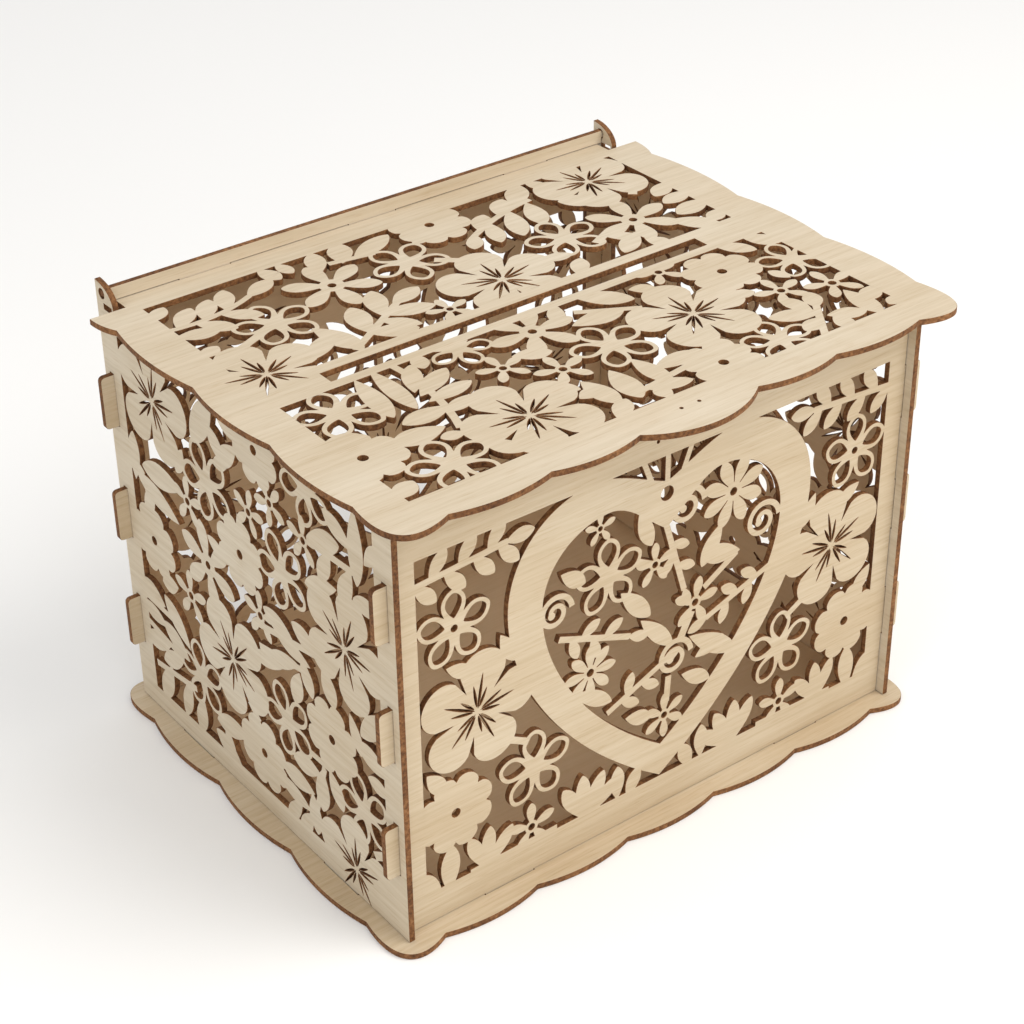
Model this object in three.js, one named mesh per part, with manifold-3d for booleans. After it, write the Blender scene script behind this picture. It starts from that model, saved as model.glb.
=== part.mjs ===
// Wedding card box: a flat-pack box of laser-cut ply panels that plug together with tabs and slots.
// Millimetres, +Z up, the front towards -Y. The origin is the centre of the base plate's underside.
// Every panel is one flat plate with a window, and the window holds a lace of flat floral motifs.
import * as THREE from 'three';
import { mergeVertices } from 'three/addons/utils/BufferGeometryUtils.js';
import Module from 'manifold-3d';

const wasm = await Module();
wasm.setup();

// Driving dimensions.
const PLY = 3; // sheet thickness
const GAP = 0.3; // clearance wherever two panels meet
const BODY_WIDTH = 300; // across the outer faces of the side panels
const BODY_DEPTH = 238; // length of the side panels, front edge to rear edge
const WALL_HEIGHT = 224; // side and front panels, above the top of the base plate
const BACK_HEIGHT = 222; // the back panel stops lower, so the turning lid clears it
const PANEL_INSET = 5; // front and back panels sit this far inside the side panels' edges
const TAB_LENGTH = 28; // every tab, along the panel edge
const TAB_REACH = 7; // how far the side tabs stand out of the side panels
const TAB_CORNER = 2; // radius on the outer corners of a tab
const TAB_PITCH = 63; // spacing of the three tabs on each upright edge
const TAB_MIDDLE = 113.5; // height of the middle one, above the base plate
const BASE_TABS_FRONT = 90; // front and back panels plug into the base at plus and minus this x
const BASE_TABS_SIDE = 64; // side panels plug into the base at plus and minus this y
const LID_GAP = 0.3; // air between the walls and the lid
const SLOT_LENGTH = 217; // card slot
const SLOT_WIDTH = 9;
const SLOT_Y = -10.5;
const HINGE_Y = BODY_DEPTH / 2 - 5.5; // hinge axis, parallel to X
const HINGE_ABOVE_LID = 4.8; // hinge axis above the lid's top face
const HINGE_HOLE_RADIUS = 2.6;
const EAR_LENGTH = 15.6; // hinge ear, along Y from the side panel's rear edge
const EAR_RISE = 10.4; // hinge ear, above the lid's top face
const RAIL_RISE = 7.1; // hinge bar, above the lid's top face
const RAIL_TABS_X = [-96, 0, 96]; // the hinge bar plugs into the lid here
const LID_NOTCH_X = 144; // half width of the lid's rear tongue, which passes between the ears
const LID_REAR_Y = 102.8; // rear edge of the lid beside the ears
const LACE_LAP = 1; // how far the motifs run into the frame round their window
const LACE_TOLERANCE = 0.6; // detail smaller than this is dropped from the lace

// Worked out from those.
const LID_Z = PLY + WALL_HEIGHT + LID_GAP; // underside of the lid
const LID_TOP_Z = LID_Z + PLY;
const HINGE_Z = LID_TOP_Z + HINGE_ABOVE_LID;
const INNER_HALF = BODY_WIDTH / 2 - PLY; // inner faces of the side panels
const TONGUE_Y = BODY_DEPTH / 2; // rear edge of the lid's tongue

const ply = (colour) => new THREE.MeshStandardMaterial({ color: colour, roughness: 0.75, metalness: 0 });
const LID_PLY = ply('#d8c8b1');
const FRONT_PLY = ply('#cbba9e');
const SIDE_PLY = ply('#c1b4a2');
const BASE_PLY = ply('#cdbc9f');
const BAR_PLY = ply('#dac7af');

const point = (x, y) => new THREE.Vector2(x, y);
const degrees = (angle) => THREE.MathUtils.degToRad(angle);

// ---- outline pieces -------------------------------------------------------------------------

// A rectangle between two corners, as four points.
function rectangle(x0, y0, x1, y1) {
  return [point(x0, y0), point(x1, y0), point(x1, y1), point(x0, y1)];
}

// An ellipse turned by an angle in degrees.
function ellipse(x, y, along, across, turn, steps) {
  const points = [];
  for (let i = 0; i < steps; i += 1) {
    const angle = (2 * Math.PI * (i + 0.5)) / steps;
    points.push(point(along * Math.cos(angle), across * Math.sin(angle)));
  }
  return points.map((p) => p.rotateAround(point(0, 0), degrees(turn)).add(point(x, y)));
}

// A circular arc from one point to another, standing out to the right of the way by the bulge.
// The last point is left out, so that arcs join up.
function arc(from, to, bulge, steps) {
  const chord = to.clone().sub(from);
  const half = chord.length() / 2;
  const radius = (half * half + bulge * bulge) / (2 * bulge);
  const outward = point(chord.y, -chord.x).normalize();
  const centre = from.clone().add(to).multiplyScalar(0.5).addScaledVector(outward, bulge - radius);
  const start = from.clone().sub(centre).angle();
  const sweep = 4 * Math.atan2(bulge, half);
  const points = [];
  for (let i = 0; i < steps; i += 1) {
    const angle = start + (sweep * i) / steps;
    points.push(point(centre.x + radius * Math.cos(angle), centre.y + radius * Math.sin(angle)));
  }
  return points;
}

// The mirror image of an outline across the Y axis, in the same direction of travel.
function mirrored(points) {
  return points.map((p) => point(-p.x, p.y)).reverse();
}

// A cubic Bezier curve from a to d, without its last point.
function bezier(a, b, c, d, steps) {
  return new THREE.CubicBezierCurve(a, b, c, d).getPoints(steps).slice(0, -1);
}

// ---- floral motifs, each an outline with the holes of its own --------------------------------

// A flower outline: the radius swings between the waist and the full radius once per petal.
function petals(x, y, radius, count, waist, turn, steps) {
  const points = [];
  for (let i = 0; i < count * steps; i += 1) {
    const angle = (2 * Math.PI * (i / steps + 0.5)) / count;
    const swell = Math.sqrt(Math.abs(Math.cos((count * angle) / 2)));
    const reach = radius * (waist + (1 - waist) * swell);
    const heading = angle + degrees(turn);
    points.push(point(x + reach * Math.cos(heading), y + reach * Math.sin(heading)));
  }
  return points;
}

// Five petals with an open middle each.
function loopFlower(x, y, radius, turn) {
  const holes = [];
  for (let i = 0; i < 5; i += 1) {
    const heading = turn + 72 * i;
    const centre = point(0.62 * radius, 0).rotateAround(point(0, 0), degrees(heading));
    holes.push(ellipse(x + centre.x, y + centre.y, 0.3 * radius, 0.19 * radius, heading, 4));
  }
  return { outline: petals(x, y, radius, 5, 0.34, turn, 3), holes };
}

// Five broad petals.
function hibiscus(x, y, radius, turn) {
  return { outline: petals(x, y, radius, 5, 0.5, turn, 4), holes: [] };
}

// A scalloped disc with a round eye.
function daisy(x, y, radius, count = 8) {
  const eye = ellipse(x, y, 2.4, 2.4, 0, 4);
  return { outline: petals(x, y, radius, count, 0.82, 0, 2), holes: [eye] };
}

// Long separate petals round a small eye.
function starFlower(x, y, radius, count, turn) {
  const eye = ellipse(x, y, 1.6, 1.6, 0, 4);
  return { outline: petals(x, y, radius, count, 0.3, turn, 3), holes: [eye] };
}

// A pointed leaf from its foot to its tip.
function leaf(x0, y0, x1, y1, width) {
  const along = point(x1 - x0, y1 - y0);
  const side = point(-along.y, along.x).normalize().multiplyScalar(width / 2);
  const points = [];
  for (let i = 0; i < 6; i += 1) {
    const way = i < 3 ? i / 3 : 2 - i / 3;
    const swell = Math.sin(Math.PI * way) * (i < 3 ? -1.1 : 1.1);
    points.push(point(x0, y0).addScaledVector(along, way).addScaledVector(side, swell));
  }
  return { outline: points, holes: [] };
}

// A straight stem between two points.
function stem(x0, y0, x1, y1, width = 3.4) {
  const way = point(x1 - x0, y1 - y0);
  const side = point(-way.y, way.x).normalize().multiplyScalar(width / 2);
  const corners = [[0, -1], [1, -1], [1, 1], [0, 1]];
  const points = corners.map(([t, s]) => point(x0, y0).addScaledVector(way, t).addScaledVector(side, s));
  return { outline: points, holes: [] };
}

// A ring, which stands for a curled tendril.
function curl(x, y, radius) {
  const inside = radius - 4;
  return { outline: ellipse(x, y, radius, radius, 0, 10), holes: [ellipse(x, y, inside, inside, 0, 7)] };
}

// A heart between its foot and its top, mirrored about x = 0.
function heartOutline(foot, half, shoulder, top, cleft, steps) {
  const rise = shoulder - foot;
  const dome = top - shoulder;
  const crown = 0.47 * half; // the lobe's highest point lies here
  const side = [
    ...bezier(point(0, foot), point(0.64 * half, foot + 0.3 * rise),
      point(half, foot + 0.7 * rise), point(half, shoulder), steps),
    ...bezier(point(half, shoulder), point(half, top - 0.4 * dome), point(0.75 * half, top),
      point(crown, top), steps / 2),
    ...bezier(point(crown, top), point(0.64 * crown, top),
      point(0.3 * crown, cleft + 0.3 * (top - cleft)), point(0, cleft), steps / 2),
  ];
  return [...side, point(0, cleft), ...mirrored(side).slice(0, -1)];
}

// ---- plates ---------------------------------------------------------------------------------

const solidOf = (geometry) => {
  geometry.deleteAttribute('normal');
  geometry.deleteAttribute('uv');
  const merged = mergeVertices(geometry, 1e-4);
  return new wasm.Manifold(new wasm.Mesh({
    numProp: 3,
    vertProperties: new Float32Array(merged.attributes.position.array),
    triVerts: new Uint32Array(merged.index.array),
  }));
};

// A flat slab between two heights.
function slab(outline, low, high) {
  const settings = { depth: high - low, bevelEnabled: false, steps: 1 };
  return solidOf(new THREE.ExtrudeGeometry(new THREE.Shape(outline), settings).translate(0, 0, low));
}

// A flat plate of one sheet thickness: an outline with holes, lying on z = 0.
function plate(outline, holes) {
  const cuts = holes.map((hole) => slab(hole, -1, PLY + 1));
  return slab(outline, 0, PLY).subtract(wasm.Manifold.union(cuts));
}

// A plate whose windows are filled with motifs. The lace overlaps each window's edge by a little,
// and vertices closer together than the tolerance are joined.
function fretwork(outline, windows, holes, motifs) {
  const pieces = motifs.map((motif) => plate(motif.outline, motif.holes));
  const frames = windows.map((corners) => {
    const [low, , high] = corners;
    return slab(rectangle(low.x - LACE_LAP, low.y - LACE_LAP, high.x + LACE_LAP, high.y + LACE_LAP), 0, PLY);
  });
  const lace = wasm.Manifold.union(pieces).intersect(wasm.Manifold.union(frames));
  return plate(outline, [...windows, ...holes]).add(lace).asOriginal().simplify(LACE_TOLERANCE);
}

function meshOf(name, solid, material) {
  const { vertProperties, triVerts } = solid.getMesh();
  const geometry = new THREE.BufferGeometry();
  geometry.setAttribute('position', new THREE.BufferAttribute(new Float32Array(vertProperties), 3));
  geometry.setIndex(new THREE.BufferAttribute(new Uint32Array(triVerts), 1));
  const mesh = new THREE.Mesh(geometry, material);
  mesh.name = name;
  return mesh;
}

// ---- base plate -----------------------------------------------------------------------------

const BASE_CUSP_X = [-133.5, -81, -27, 27, 81, 133.5]; // meeting points of the front scallops
const BASE_CUSP_Y = [-95.6, -32.3, 32.3, 95.6]; // and of the side scallops
const BASE_EDGE_Y = 123.6; // half depth at the meeting points
const BASE_EDGE_X = 157.7; // half width at the meeting points
const SCALLOP = 4; // how far a scallop stands out
// Scallops through a row of meeting points, each bulging by the same amount.
function scallops(points, bulge, steps) {
  return points.slice(0, -1).flatMap((from, i) => arc(from, points[i + 1], bulge, steps));
}

// The control points of the lobe round a front right corner, from the front edge to the side edge.
function cornerLobe(front, side) {
  return [front, point(side.x - 3.5, front.y - 10.5), point(side.x + 5.5, front.y + 0.5), side];
}

function baseOutline() {
  const front = BASE_CUSP_X.map((x) => point(x, -BASE_EDGE_Y));
  const right = BASE_CUSP_Y.map((y) => point(BASE_EDGE_X, y));
  const lobe = cornerLobe(front[front.length - 1], right[0]);
  const rearLobe = lobe.map((p) => point(p.x, -p.y)).reverse();
  const half = [...scallops(front, SCALLOP, 3), ...bezier(...lobe, 6), ...scallops(right, SCALLOP, 3),
    ...bezier(...rearLobe, 6)];
  return [...half, ...half.map((p) => p.clone().negate())];
}

// The slot for one tab, centred on x, y; the tab runs along X or along Y.
function tabSlot(x, y, runsAlongX) {
  const long = TAB_LENGTH / 2 + GAP;
  const short = PLY / 2 + GAP;
  return runsAlongX
    ? rectangle(x - long, y - short, x + long, y + short)
    : rectangle(x - short, y - long, x + short, y + long);
}

const PANEL_Y = BODY_DEPTH / 2 - PANEL_INSET - PLY / 2; // mid plane of the front and back panels
const SIDE_X = BODY_WIDTH / 2 - PLY / 2; // mid plane of the side panels

function basePlate() {
  const slots = [-1, 1].flatMap((side) => [-1, 1].flatMap((end) => [
    tabSlot(end * BASE_TABS_FRONT, side * PANEL_Y, true),
    tabSlot(side * SIDE_X, end * BASE_TABS_SIDE, false),
  ]));
  return plate(baseOutline(), slots);
}

// ---- front and back panels -------------------------------------------------------------------

const TAB_HEIGHTS = [-1, 0, 1].map((step) => TAB_MIDDLE + step * TAB_PITCH);
const TAB_HALF = TAB_LENGTH / 2;
const TAB_END = BODY_WIDTH / 2 + TAB_REACH; // outer end of a side tab
const TAB_FOOT = -PLY; // the base tabs end flush with the underside, less the gap

// One base tab on a bottom edge, from left to right.
function baseTab(middle) {
  return [point(middle - TAB_HALF, GAP), point(middle - TAB_HALF, TAB_FOOT + GAP),
    point(middle + TAB_HALF, TAB_FOOT + GAP), point(middle + TAB_HALF, GAP)];
}

// One side tab on the right edge, from bottom to top, with cut corners.
function sideTab(height, edge) {
  const low = height - TAB_HALF;
  const high = height + TAB_HALF;
  const bevel = TAB_CORNER * 0.3;
  return [point(edge, low), point(TAB_END - TAB_CORNER, low), point(TAB_END - bevel, low + bevel),
    point(TAB_END, low + TAB_CORNER), point(TAB_END, high - TAB_CORNER),
    point(TAB_END - bevel, high - bevel), point(TAB_END - TAB_CORNER, high), point(edge, high)];
}

function crossPanelOutline(height) {
  const edge = INNER_HALF - GAP;
  const right = TAB_HEIGHTS.flatMap((middle) => sideTab(middle, edge));
  return [point(-edge, GAP), ...baseTab(-BASE_TABS_FRONT), ...baseTab(BASE_TABS_FRONT),
    point(edge, GAP), ...right, point(edge, height), point(-edge, height), ...mirrored(right)];
}

const FRONT_WINDOW = rectangle(-136, 17.5, 136, 196);

// The corners of the front and back panels: both outside the heart, mirror images of each other.
const CORNER_ART = [
  loopFlower(-117, 155, 20, 90), hibiscus(-106, 106, 31, 80), loopFlower(-75, 60, 21, 90),
  daisy(-119, 56, 20), starFlower(-77, 26, 13, 5, 90),
  leaf(-100, 19, -108, 41, 10), leaf(-100, 19, -92, 40, 10), leaf(-125, 14, -122, 37, 10),
  leaf(-45, 17, -54, 41, 10), leaf(-45, 17, -38, 42, 10), stem(-110, 17, -66, 19, 4),
  leaf(-25, 15, -14, 36, 9),
  leaf(-138, 192, -106, 168, 13), leaf(-128, 200, -112, 178, 9), leaf(-112, 199, -84, 184, 11),
  leaf(-104, 186, -96, 166, 10), leaf(-86, 188, -94, 167, 10), stem(-132, 188, -84, 186, 4),
  stem(-94, 130, -82, 140, 5), stem(-128, 140, -116, 126, 4), stem(-132, 82, -120, 68, 5),
  stem(-92, 84, -76, 76, 4),
];

// The sprays inside the heart.
const HEART_ART = [
  curl(12, 165, 12), starFlower(40, 162, 19, 8, 22), curl(57, 139, 12), curl(-63, 139, 11),
  loopFlower(-33, 146, 20, 90), starFlower(-38, 173, 9, 5, 90), starFlower(-6, 141, 12, 5, 90),
  daisy(-43, 100, 15, 8), starFlower(19, 110, 14, 5, 80), curl(7, 84, 12), starFlower(2, 53, 13, 6, 30),
  leaf(-60, 121, -34, 110, 10), leaf(-26, 136, -2, 108, 10), leaf(0, 163, 9, 112, 10),
  stem(-17, 147, -8, 142, 4),
  leaf(46, 128, 22, 134, 11), leaf(26, 100, 66, 108, 11), leaf(34, 148, 22, 128, 9),
  leaf(16, 92, 46, 72, 11), leaf(-14, 114, 6, 92, 9), leaf(-33, 72, -4, 88, 10), leaf(-52, 90, -30, 76, 9),
  leaf(-22, 66, -4, 58, 9), leaf(12, 72, 30, 62, 8), stem(4, 75, 3, 60, 4), stem(24, 116, 44, 128, 4),
  stem(17, 106, 10, 92, 5),
];

function mirroredMotif(motif) {
  return { outline: mirrored(motif.outline), holes: motif.holes.map(mirrored) };
}

const heartRing = {
  outline: heartOutline(18, 89, 148, 197.5, 183, 8),
  holes: [heartOutline(37, 70, 142, 179, 158, 8), ellipse(0, 176.5, 3.6, 3.6, 0, 8)],
};

// The back panel's heart holds fewer and larger flowers.
const BACK_HEART_ART = [
  loopFlower(-33, 142, 24, 90), loopFlower(33, 142, 24, 90), hibiscus(0, 92, 31, 90),
  starFlower(0, 132, 15, 5, 270), leaf(-69, 126, -22, 104, 12), leaf(69, 126, 22, 104, 12),
  leaf(-56, 92, -16, 80, 11), leaf(56, 92, 16, 80, 11), leaf(0, 28, 0, 82, 13),
  leaf(-34, 184, -33, 156, 10), leaf(34, 184, 33, 156, 10), stem(0, 164, 0, 144, 4),
];

function crossPanel(height, heartArt) {
  const motifs = [heartRing, ...CORNER_ART, ...CORNER_ART.map(mirroredMotif), ...heartArt];
  return fretwork(crossPanelOutline(height), [FRONT_WINDOW], [], motifs);
}

// ---- side panels ----------------------------------------------------------------------------

const SIDE_WINDOW = rectangle(-105, 13, 103, 214);
const EAR_FOOT = LID_TOP_Z - PLY; // lid's top face, above the base plate
const EAR_SLOT = rectangle(105, EAR_FOOT - 2.8, 112.5, EAR_FOOT + 0.2); // beside the lid's rear edge

function sidePanelOutline() {
  const front = -BODY_DEPTH / 2;
  const rear = BODY_DEPTH / 2;
  const ear = [];
  for (let i = 0; i <= 6; i += 1) {
    const angle = (Math.PI / 2) * (i / 6);
    ear.push(point(rear - EAR_LENGTH * Math.sin(angle), EAR_FOOT + EAR_RISE * Math.cos(angle)));
  }
  return [point(front, GAP), ...baseTab(-BASE_TABS_SIDE), ...baseTab(BASE_TABS_SIDE),
    point(rear, GAP), ...ear, point(rear - EAR_LENGTH, WALL_HEIGHT), point(front, WALL_HEIGHT)];
}

const SIDE_ART = [
  hibiscus(-79, 139, 31, 110), hibiscus(75, 192, 31, 100), hibiscus(20, 77, 31, 62),
  hibiscus(-78, 15, 29, 90),
  loopFlower(-31, 153, 21, 65), loopFlower(30, 170, 22, 65), loopFlower(-88, 55, 21, 70),
  loopFlower(-27, 69, 21, 65), loopFlower(53, 48, 21, 80), loopFlower(-55, 208, 20, 60),
  daisy(-64, 81, 20), daisy(5, 144, 19), daisy(88, 109, 19), daisy(-2, 35, 20), daisy(-15, 208, 18),
  starFlower(-51, 180, 13, 5, 90), starFlower(-25, 186, 13, 5, 60), starFlower(-6, 172, 13, 5, 30),
  starFlower(-9, 118, 14, 5, 90), starFlower(50, 150, 14, 5, 90), starFlower(56, 94, 15, 5, 90),
  starFlower(36, 122, 24, 6, 80),
  leaf(-83, 182, -78, 164, 9), leaf(-86, 195, -54, 182, 11),
  leaf(-62, 122, -36, 127, 10), leaf(-55, 104, -12, 117, 10), leaf(-52, 98, 2, 92, 9),
  leaf(-44, 104, -33, 82, 10), leaf(-62, 122, -48, 88, 9), leaf(-68, 54, -50, 20, 10),
  leaf(-42, 40, -46, 16, 9), leaf(-50, 42, -16, 36, 10), leaf(-40, 32, -10, 24, 9),
  leaf(55, 153, 90, 150, 13), leaf(100, 138, 99, 166, 11), leaf(58, 132, 106, 140, 11),
  leaf(66, 102, 82, 84, 11), leaf(82, 78, 106, 72, 13), leaf(62, 58, 80, 86, 10),
  leaf(74, 62, 106, 50, 11), leaf(80, 48, 106, 32, 11), leaf(12, 42, 38, 34, 11),
  leaf(54, 32, 60, 12, 10), leaf(66, 38, 80, 8, 11), leaf(16, 9, 38, 26, 10),
  leaf(-2, 200, 22, 190, 11), leaf(17, 217, 42, 186, 11), leaf(-106, 118, -78, 90, 10),
  leaf(-106, 86, -84, 92, 10), leaf(6, 186, 24, 184, 8), stem(-60, 60, -44, 62, 4),
  stem(0, 52, 8, 60, 5), stem(40, 62, 34, 70, 4), stem(-106, 176, -84, 168, 5),
  stem(88, 128, 90, 140, 5), stem(-50, 92, -46, 82, 4), stem(-14, 150, -6, 148, 5),
  stem(2, 166, 4, 158, 5), leaf(-92, 212, -90, 172, 11),
];

function sidePanel() {
  const tabSlots = TAB_HEIGHTS.flatMap(
    (height) => [-PANEL_Y, PANEL_Y].map((y) => tabSlot(y, height, false)));
  const pivot = ellipse(HINGE_Y, HINGE_Z - PLY, HINGE_HOLE_RADIUS, HINGE_HOLE_RADIUS, 0, 12);
  return fretwork(sidePanelOutline(), [SIDE_WINDOW], [pivot, EAR_SLOT, ...tabSlots], SIDE_ART);
}

// ---- lid ------------------------------------------------------------------------------------

const LID_CUSP_X = [-131.7, -80, -33.3]; // front scallops; the wide middle one lies between the last two
const LID_CUSP_Y = [-105.5, -44, 18, 85]; // side scallops
const LID_EDGE_Y = -133.5; // front edge at the meeting points
const LID_EDGE_X = 158.5; // half width at the meeting points
const LID_LIP = 11.5; // the wide middle scallop, where fingers lift the lid
const LID_SCALLOP = 3.5; // how far the side scallops stand out
const PILOT_RADIUS = 0.8; // drilled holes for the screws of a catch
const PILOT_X = 5;
const PILOT_Y = -127;
const LID_WINDOWS = [rectangle(-138.5, -116, 138.5, -21), rectangle(-138.5, 1, 138.5, 96)];

function lidOutline() {
  const frontLeft = LID_CUSP_X.map((x) => point(x, LID_EDGE_Y));
  const frontRight = mirrored(frontLeft);
  const right = LID_CUSP_Y.map((y) => point(LID_EDGE_X, y));
  const corner = point(LID_EDGE_X + SCALLOP, LID_REAR_Y);
  const rear = [corner, point(LID_NOTCH_X, LID_REAR_Y), point(LID_NOTCH_X, TONGUE_Y)];
  const rightSide = [
    ...bezier(...cornerLobe(frontRight[2], right[0]), 6), ...scallops(right, LID_SCALLOP, 3),
    ...arc(right[3], corner, 1.2, 2), ...rear,
  ];
  return [
    ...scallops(frontLeft, SCALLOP, 3), ...arc(frontLeft[2], frontRight[0], LID_LIP, 6),
    ...scallops(frontRight, SCALLOP, 3), ...rightSide, ...mirrored(rightSide).slice(0, -1),
  ];
}

const LID_ART = [
  hibiscus(-127, 8, 29, 95), hibiscus(9, 17, 31, 85), hibiscus(110, 78, 30, 30),
  loopFlower(-98, 46, 21, 90), loopFlower(-15, 60, 21, 45), loopFlower(60, 34, 21, 90),
  starFlower(-57, 62, 24, 6, 90), starFlower(99, 29, 24, 6, 75), starFlower(-28, 8, 12, 5, 90),
  daisy(17, 87, 20),
  leaf(-134, 76, -122, 98, 10), leaf(-118, 78, -112, 98, 10), leaf(-103, 74, -94, 97, 11),
  leaf(-94, 74, -80, 92, 10), leaf(-136, 72, -108, 60, 12), stem(-136, 72, -86, 76, 4),
  leaf(-114, 76, -84, 54, 10),
  leaf(-46, 98, -52, 78, 10), leaf(-40, 80, -22, 94, 10), leaf(-34, 78, -10, 88, 9),
  leaf(30, 66, 50, 82, 11), leaf(48, 70, 62, 90, 11), leaf(62, 74, 80, 99, 12), stem(34, 84, 46, 74, 4),
  stem(24, 62, 72, 76, 4), leaf(46, 50, 54, 70, 10), leaf(61, 50, 72, 78, 10),
  leaf(-70, 12, -62, 36, 11), leaf(-72, 12, -48, 2, 12), leaf(-60, 24, -34, 16, 11),
  leaf(-60, 24, -38, 44, 10),
  stem(-84, 2, -42, 30, 4), leaf(-90, 28, -84, 4, 8), leaf(140, 52, 126, 40, 11), leaf(142, 38, 122, 34, 10),
  leaf(142, 26, 120, 20, 12), leaf(114, 15, 142, -1, 12), leaf(66, -2, 92, 14, 9), stem(118, 52, 128, 64, 5),
  stem(84, 48, 92, 62, 4), stem(-126, 32, -108, 42, 5), stem(34, 24, 50, 22, 5),
  stem(-2, 74, 6, 80, 5), stem(-4, 54, 8, 44, 5), stem(68, 20, 80, 26, 5),
  loopFlower(-121, -40, 21, 90), loopFlower(-107, -103, 21, 90), loopFlower(8, -65, 21, 95),
  loopFlower(130, -52, 19, 85), loopFlower(70, -108, 19, 80), hibiscus(-59, -92, 31, 100),
  hibiscus(56, -65, 31, 85),
  daisy(-134, -77, 19), daisy(95, -41, 19), daisy(36, -108, 18), loopFlower(-48, -25, 17, 200),
  starFlower(-43, -52, 13, 5, 90), starFlower(-23, -69, 14, 5, 90), starFlower(103, -73, 14, 5, 90),
  starFlower(127, -82, 15, 5, 90), starFlower(71, -23, 13, 5, 90), starFlower(-12, -33, 23, 6, 60),
  leaf(-92, -30, -96, -58, 10), leaf(-88, -18, -76, -56, 10), leaf(-74, -18, -50, -50, 10),
  leaf(-112, -58, -70, -70, 11), leaf(-88, -48, -60, -68, 10), leaf(-119, -72, -82, -84, 11),
  leaf(-100, -18, -92, -34, 10), leaf(24, -20, 42, -36, 11), leaf(6, -38, 38, -52, 10),
  leaf(-18, -42, -16, -60, 9),
  leaf(-22, -84, -18, -119, 9), leaf(-8, -80, -10, -108, 10), leaf(7, -78, 8, -106, 9),
  leaf(-14, -106, 12, -112, 11),
  leaf(10, -94, 38, -94, 10), leaf(94, -80, 112, -108, 11), leaf(98, -100, 114, -118, 10),
  leaf(116, -96, 122, -118, 10),
  leaf(141, -98, 120, -110, 9), stem(80, -62, 92, -66, 4), stem(-34, -94, -22, -92, 5),
  stem(-136, -58, -128, -60, 5),
  stem(44, -90, 48, -98, 5), stem(-80, -112, -70, -106, 5), stem(-12, -108, 24, -100, 4),
  stem(112, -18, 118, -46, 5), stem(-72, -28, -64, -24, 5),
];

function lidPanel() {
  const slotHalf = SLOT_WIDTH / 2;
  const cardSlot = rectangle(-SLOT_LENGTH / 2, SLOT_Y - slotHalf, SLOT_LENGTH / 2, SLOT_Y + slotHalf);
  const railSlots = RAIL_TABS_X.map((x) => tabSlot(x, HINGE_Y, true));
  const pilotHoles = [-PILOT_X, PILOT_X].map(
    (x) => ellipse(x, PILOT_Y, PILOT_RADIUS, PILOT_RADIUS, 0, 6));
  return fretwork(lidOutline(), LID_WINDOWS, [cardSlot, ...railSlots, ...pilotHoles], LID_ART);
}

// ---- hinge bar ------------------------------------------------------------------------------

const TENON = 3; // square end tenons, which turn in the ears' round holes

// The bar stands on edge: X along the box, Y upwards from the lid's top face.
function hingeBar() {
  const end = INNER_HALF - GAP;
  const tip = BODY_WIDTH / 2 - GAP;
  const low = HINGE_ABOVE_LID - TENON / 2;
  const high = HINGE_ABOVE_LID + TENON / 2;
  const feet = RAIL_TABS_X.flatMap((x) => [point(x - TAB_HALF, GAP), point(x - TAB_HALF, GAP - PLY),
    point(x + TAB_HALF, GAP - PLY), point(x + TAB_HALF, GAP)]);
  const right = [point(end, GAP), point(end, low), point(tip, low), point(tip, high), point(end, high),
    point(end, RAIL_RISE)];
  return plate([...feet, ...right, ...mirrored(right)], []);
}

// ---- assembly -------------------------------------------------------------------------------

const box = new THREE.Group();

// Stands a flat piece up: facing front, with its Y axis upwards and its thickness along -Y.
function facingFront(mesh, innerY, height) {
  mesh.rotation.x = Math.PI / 2;
  mesh.position.set(0, innerY, height);
  return mesh;
}

// Stands a flat piece up along the box's side: its X axis runs along Y and its thickness along +X.
const ALONG_SIDE = new THREE.Matrix4().makeBasis(
  new THREE.Vector3(0, 1, 0), new THREE.Vector3(0, 0, 1), new THREE.Vector3(1, 0, 0));

function facingSide(mesh, leftX, height) {
  mesh.quaternion.setFromRotationMatrix(ALONG_SIDE);
  mesh.position.set(leftX, 0, height);
  return mesh;
}

box.add(meshOf('base_plate', basePlate(), BASE_PLY));
const front = meshOf('front_panel', crossPanel(WALL_HEIGHT, HEART_ART), FRONT_PLY);
box.add(facingFront(front, PLY / 2 - PANEL_Y, PLY));
const back = meshOf('back_panel', crossPanel(BACK_HEIGHT, BACK_HEART_ART), FRONT_PLY);
box.add(facingFront(back, PLY / 2 + PANEL_Y, PLY));
box.add(facingSide(meshOf('left_side_panel', sidePanel(), SIDE_PLY), -BODY_WIDTH / 2, PLY));
box.add(facingSide(meshOf('right_side_panel', sidePanel(), SIDE_PLY), INNER_HALF, PLY));

const lid = new THREE.Group();
const lidMesh = meshOf('lid_panel', lidPanel(), LID_PLY);
lidMesh.position.z = LID_Z;
lid.add(lidMesh);
lid.add(facingFront(meshOf('hinge_bar', hingeBar(), BAR_PLY), HINGE_Y + PLY / 2, LID_TOP_Z));
box.add(lid);

export default box;
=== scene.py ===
"""Wedding card box of laser-cut basswood ply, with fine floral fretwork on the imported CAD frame.

Every panel is a flat sheet. Its outline, its windows and the floral motifs in them are closed plane
curves worked out in millimetres. One triangulation of all the curves is sorted into wood and air,
and the wood is given the sheet's thickness with a small bevel along every cut.
"""
import math

import bpy
import numpy as np
from mathutils import Matrix, Vector
from mathutils.geometry import delaunay_2d_cdt


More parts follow.
